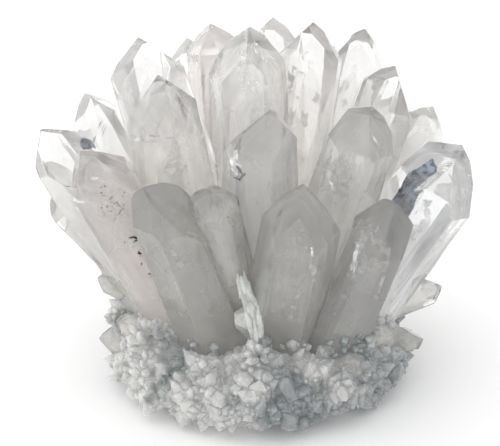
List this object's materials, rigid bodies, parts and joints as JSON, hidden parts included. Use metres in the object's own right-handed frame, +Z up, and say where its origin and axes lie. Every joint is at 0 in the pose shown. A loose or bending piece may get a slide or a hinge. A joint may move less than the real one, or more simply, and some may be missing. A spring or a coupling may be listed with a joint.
{
  "type": "quartz crystal cluster",
  "caption": "Cluster of clear six-sided quartz points that fan out in all directions from a drusy milky-white base with a flat underside.",
  "frame": {"origin": "centre of the flat resting face, under the middle of the matrix", "axes": "+Z up, the way the middle crystals point; -Y is the front, with the milky front points and the granular druse; +X to the right seen from the front, along the widest spread of the points"},
  "size_m": [0.1169, 0.1044, 0.0963],
  "materials": {
    "clear_quartz": "natural glossy crystal faces, milky towards the root",
    "milky_druse": "sparkling granular druse"
  },
  "bodies": {
    "root": {"matrix": "milky_druse", "point_back_centre": "clear_quartz", "point_back_left": "clear_quartz", "point_back_left_outer": "clear_quartz", "point_back_right": "clear_quartz", "point_back_right_outer": "clear_quartz", "point_centre": "clear_quartz", "point_crown": "clear_quartz", "point_crown_left": "clear_quartz", "point_crown_right": "clear_quartz", "point_far_left": "clear_quartz", "point_far_right": "clear_quartz", "point_front_centre": "clear_quartz", "point_front_left": "clear_quartz", "point_front_left_inner": "clear_quartz", "point_front_right": "clear_quartz", "point_left_behind": "clear_quartz", "point_left_broad": "clear_quartz", "point_left_front": "clear_quartz", "point_left_tall": "clear_quartz", "point_rear_centre": "clear_quartz", "point_rear_inner": "clear_quartz", "point_rear_left": "clear_quartz", "point_rear_right": "clear_quartz", "point_right_inner": "clear_quartz", "point_right_shoulder": "clear_quartz", "point_side_right": "clear_quartz", "spur_front_right": "clear_quartz", "spur_gap_left": "clear_quartz", "spur_gap_low": "clear_quartz", "spur_left": "clear_quartz", "spur_left_back": "clear_quartz", "spur_left_front": "clear_quartz", "spur_left_low": "clear_quartz", "spur_rear_centre": "clear_quartz", "spur_rear_left": "clear_quartz", "spur_rear_low_left": "clear_quartz", "spur_rear_low_right": "clear_quartz", "spur_rear_right": "clear_quartz", "spur_right": "clear_quartz", "spur_right_back": "clear_quartz", "spur_right_low": "clear_quartz", "spur_side_right": "clear_quartz"}
  },
  "joints": []
}
